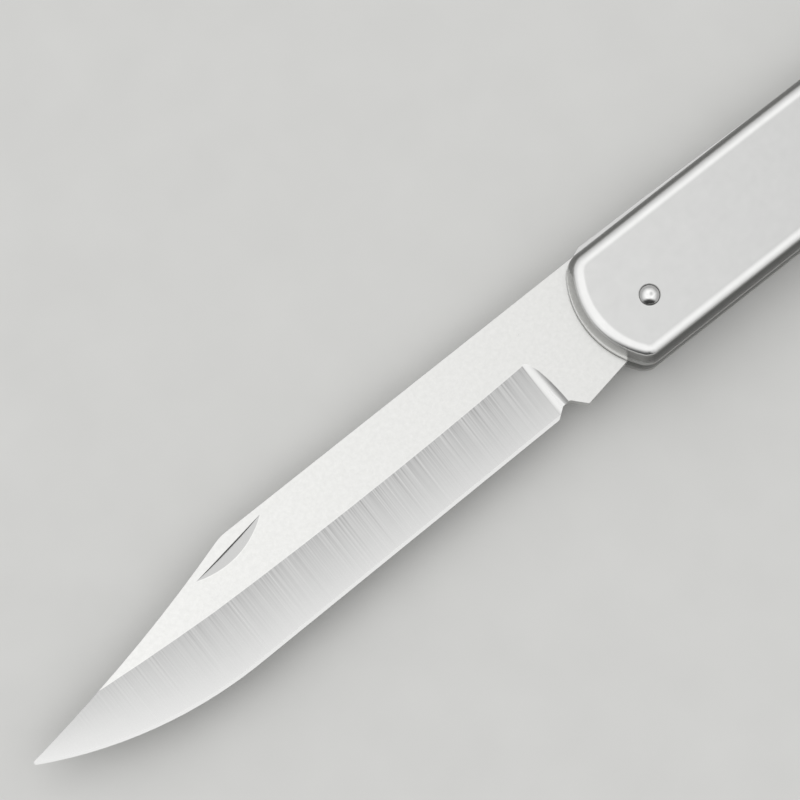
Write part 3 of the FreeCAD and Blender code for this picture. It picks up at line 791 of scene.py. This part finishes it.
@dataclass
class PivotAndEyelet:
    """Rivet, bush and washers of the pivot, the lanyard eyelet, and the collars inside the covers.

    Attributes:
        rivets: Name of the pivot's rivet.
        eyelets: Name of the lanyard eyelet.
        bearings: Names of the bush and the washers.
        collars: Names of the spacers inside the covers.
    """

    rivets: tuple[str, ...] = ("pivot_rivet",)
    eyelets: tuple[str, ...] = ("lanyard_eyelet",)
    bearings: tuple[str, ...] = ("pivot_bush", "near_pivot_washer", "far_pivot_washer")
    collars: tuple[str, ...] = (
        "near_pivot_collar", "far_pivot_collar", "near_tail_collar", "far_tail_collar")

    def build(self) -> None:
        """Dresses the small turned and headed pieces."""
        for nodes, finish in (
            (self.rivets, HEADED_RIVET),
            (self.eyelets, ROLLED_EYELET),
            (self.bearings, PHOSPHOR_BRONZE),
            (self.collars, TURNED_ALUMINIUM),
        ):
            material = finish.material()
            for node in nodes:
                dress(node, material)


@dataclass(frozen=True)
class Patch:
    """A dimmer round patch in the light tent.

    Attributes:
        lean: Angle of its middle from straight above.
        bearing: Direction that it lies in, turned from the top of the picture towards its right.
        core: Angle from its middle within which it is dimmest.
        rim: Angle from its middle where it ends.
        share: Share of the tent's light that it leaves.
    """

    lean: float
    bearing: float
    core: float
    rim: float
    share: float


@dataclass(frozen=True)
class LightTent:
    """A white tent over the knife that grows dim near the floor.

    Attributes:
        peak: Radiance of the tent, where 1 shows a colour as it is written.
        rings: Angle from straight above and share of the peak, from the middle outwards.
        patches: The greyer cloth over the tail, and the dark opening on the camera's side.
    """

    peak: float = 1.42
    rings: tuple[tuple[float, float], ...] = (
        (0.0, 1.0), (44.0, 1.0), (58.0, 0.82), (70.0, 0.66), (80.0, 0.5), (92.0, 0.3), (104.0, 0.15))
    patches: tuple[Patch, ...] = (
        Patch(lean=24.0, bearing=51.0, core=4.0, rim=34.0, share=0.62),
        Patch(lean=90.0, bearing=180.0, core=33.0, rim=60.0, share=0.08),
    )

    def angle_from(self, tree: bpy.types.NodeTree, place: bpy.types.Node, middle: Vector) -> bpy.types.Node:
        """Measures the angle from a direction in the tent.

        Args:
            tree: The world's node tree.
            place: The node that gives coordinates.
            middle: The direction, of length one.

        Returns:
            The node that gives the angle in half turns.
        """
        along = add_node(tree, "ShaderNodeVectorMath", {
            "Vector": place.outputs["Generated"], "Vector_001": middle,
        }, operation="DOT_PRODUCT")
        angle = add_node(tree, "ShaderNodeMath", {"Value": along}, operation="ARCCOSINE")
        return add_node(tree, "ShaderNodeMath", {"Value": angle, "Value_001": math.pi}, operation="DIVIDE")

    def light(self, right: Vector, top: Vector) -> bpy.types.World:
        """Builds the tent as the world round the knife.

        Args:
            right: Level direction to the right of the picture.
            top: Level direction to the top of the picture.

        Returns:
            The world.
        """
        world = bpy.data.worlds.new("light_tent")
        world.use_nodes = True
        tree = world.node_tree
        tree.nodes.clear()
        place = add_node(tree, "ShaderNodeTexCoord", {})
        above = Vector((0.0, 0.0, 1.0))
        ramp = add_node(tree, "ShaderNodeValToRGB", {"Fac": self.angle_from(tree, place, above)})
        ramp.color_ramp.interpolation = "EASE"
        stops = ramp.color_ramp.elements
        while len(stops) < len(self.rings):
            stops.new(1.0)
        for stop, (ring, bright) in zip(stops, self.rings):
            stop.position = ring / HALF_TURN
            stop.color = (bright, bright, bright, 1.0)
        strength = self.peak
        for patch in self.patches:
            turn = math.radians(patch.bearing)
            tilt = math.radians(patch.lean)
            level = right * math.sin(turn) + top * math.cos(turn)
            middle = level * math.sin(tilt) + above * math.cos(tilt)
            shade = add_node(tree, "ShaderNodeMapRange", {
                "Value": self.angle_from(tree, place, middle),
                "From Min": patch.core / HALF_TURN, "From Max": patch.rim / HALF_TURN,
                "To Min": patch.share,
            }, interpolation_type="SMOOTHSTEP")
            strength = add_node(tree, "ShaderNodeMath", {
                "Value": strength, "Value_001": shade,
            }, operation="MULTIPLY")
        glow = add_node(tree, "ShaderNodeBackground", {"Color": ramp, "Strength": strength})
        add_node(tree, "ShaderNodeOutputWorld", {"Surface": glow})
        return world


@dataclass
class Studio:
    """Pale floor, light tent and the camera over the knife.

    Attributes:
        roll: How far the knife lies turned in the picture.
        lean: How far the camera leans from straight above.
        distance: From the camera to the point in the middle of the picture.
        lens: Focal length.
        sensor: Width of the sensor.
        nearest: Where the camera starts to see.
        target: The point in the middle of the picture, along and across the knife.
        floor_size: Length of the floor's side.
        floor_light: Colour of the floor.
        floor_dark: Colour of its mottle.
        floor_mottle: Size of its mottle.
        floor_layers: Layers of finer mottle over the first.
        floor_roughness: Roughness of the floor.
        tent: The light.
    """

    roll: float = 38.6
    lean: float = 9.5
    distance: float = 420.0
    lens: float = 145.53
    sensor: float = 36.0
    nearest: float = 10.0
    target: tuple[float, float] = (-33.26, 9.96)
    floor_size: float = 6000.0
    floor_light: str = "#CACAC8"
    floor_dark: str = "#C4C4C2"
    floor_mottle: float = 9.0
    floor_layers: float = 2.0
    floor_roughness: float = 0.9
    tent: LightTent = field(default_factory=LightTent)

    def picture_axes(self) -> tuple[Vector, Vector]:
        """Level directions to the right and to the top of the picture."""
        turn = math.radians(self.roll)
        right = Vector((math.cos(turn), -math.sin(turn), 0.0))
        return right, Vector((math.sin(turn), math.cos(turn), 0.0))

    def aim(self) -> Vector:
        """The point in the middle of the picture, in metres."""
        return Vector((*self.target, MIDDLE)) * MM

    def add_floor(self) -> None:
        """Lays a matt pale floor under the knife."""
        bpy.ops.object.select_all(action="DESELECT")
        bpy.ops.mesh.primitive_plane_add(size=self.floor_size * MM)
        floor = bpy.context.object
        floor.name = "studio_floor"
        # Matt painted board: even and pale, with the faintest mottle.
        material = empty_material("matt_painted_board")
        tree = material.node_tree
        place = add_node(tree, "ShaderNodeTexCoord", {})
        mottle = add_node(tree, "ShaderNodeTexNoise", {
            "Vector": place.outputs["Object"], "Scale": 1 / (self.floor_mottle * MM),
            "Detail": self.floor_layers,
        })
        colour = add_node(tree, "ShaderNodeMix", {
            "Factor_Float": mottle,
            "A_Color": linear(self.floor_dark), "B_Color": linear(self.floor_light),
        }, data_type="RGBA")
        shader = add_node(tree, "ShaderNodeBsdfPrincipled", {
            "Base Color": colour, "Roughness": self.floor_roughness,
        })
        add_node(tree, "ShaderNodeOutputMaterial", {"Surface": shader})
        floor.data.materials.append(material)

    def add_light(self) -> None:
        """Sets the light tent over the knife."""
        bpy.context.scene.world = self.tent.light(*self.picture_axes())

    def add_camera(self) -> None:
        """Sets the camera over the knife, leaning to the bottom of the picture."""
        right, top = self.picture_axes()
        lean = math.radians(self.lean)
        back = Vector((0.0, 0.0, math.cos(lean))) - top * math.sin(lean)
        lens = bpy.data.cameras.new("photo_camera")
        lens.lens = self.lens
        lens.sensor_width = self.sensor
        lens.sensor_fit = "HORIZONTAL"
        lens.clip_start = self.nearest * MM
        camera = bpy.data.objects.new("photo_camera", lens)
        bpy.context.scene.collection.objects.link(camera)
        turn = Matrix((right, back.cross(right), back)).transposed().to_4x4()
        camera.matrix_world = Matrix.Translation(self.aim() + back * self.distance * MM) @ turn
        bpy.context.scene.camera = camera

    def build(self) -> None:
        """Builds the whole studio."""
        self.add_floor()
        self.add_light()
        self.add_camera()
        bpy.context.scene.view_settings.view_transform = "Standard"
        LOG.info("studio is set")


def main() -> None:
    """Dresses the knife and sets it in the studio."""
    logging.basicConfig(level=logging.INFO, format="%(name)s: %(message)s")
    for part in (Blade(), Handle(), PivotAndEyelet(), Studio()):
        part.build()


if __name__ == "__main__":
    main()
